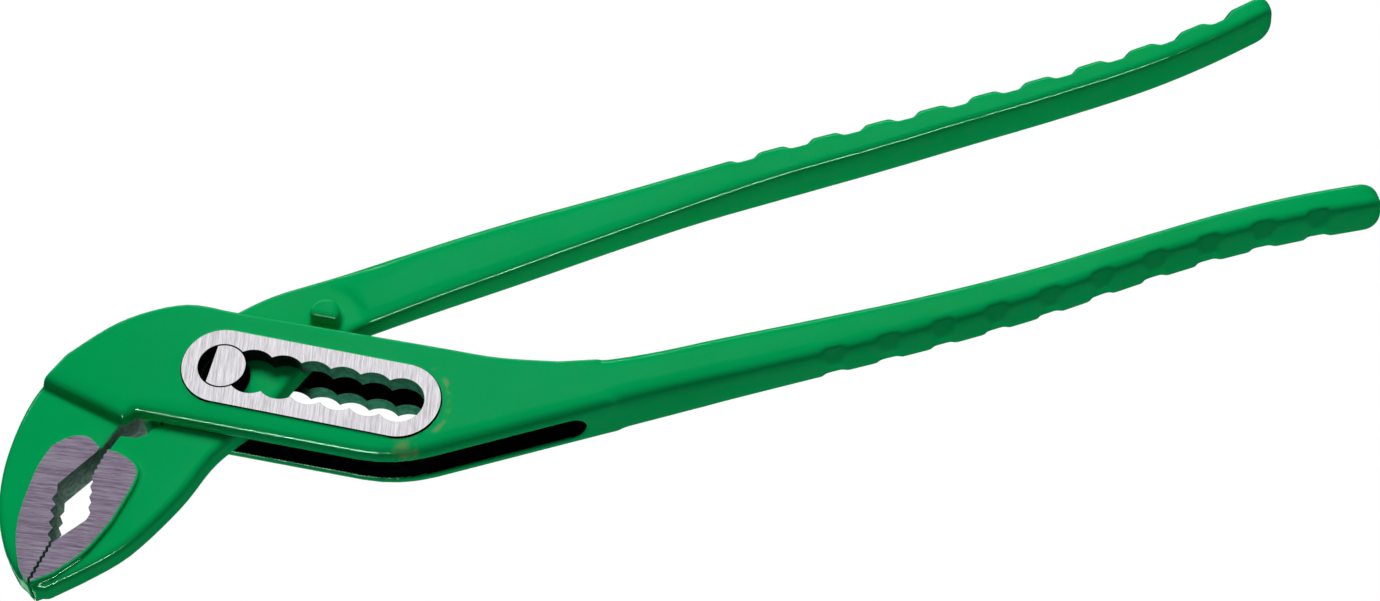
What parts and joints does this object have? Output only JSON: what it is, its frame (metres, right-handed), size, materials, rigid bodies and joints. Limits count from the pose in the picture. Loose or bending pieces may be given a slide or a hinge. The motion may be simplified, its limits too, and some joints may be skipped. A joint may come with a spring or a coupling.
{
  "type": "tongue and groove pliers",
  "caption": "Adjustable box-joint water-pump pliers: slotted outer arm, inner arm through the box, D-ended pivot pin, toothed jaws with ground faces, painted handles with grip notches.",
  "frame": {"origin": "on the pivot pin's axis, in its ground end face on the back of the tool, with the pin in the first of the seven holes and the jaws closed", "axes": "+X along the handles towards their ends, +Y towards the inner arm's handle, +Z through the pivot pin from the back ground face to the front one"},
  "size_m": [0.2532, 0.0562, 0.013],
  "materials": {
    "green_paint": "gloss",
    "ground_steel": "satin"
  },
  "bodies": {
    "outer": {"outer_arm": "green_paint"},
    "pin": {"pivot_pin": "ground_steel"},
    "inner": {"inner_arm": "green_paint"}
  },
  "joints": [
    {"name": "slot_slide", "type": "slide", "parent": "outer", "child": "pin", "axis": [0.8746, -0.4848, 0], "range_m": [0, 0.033]},
    {"name": "jaw_pivot", "type": "hinge", "parent": "pin", "child": "inner", "pos_m": [0, 0, 0.0065], "axis": [0, 0, 1], "range_deg": [0, 80]}
  ]
}
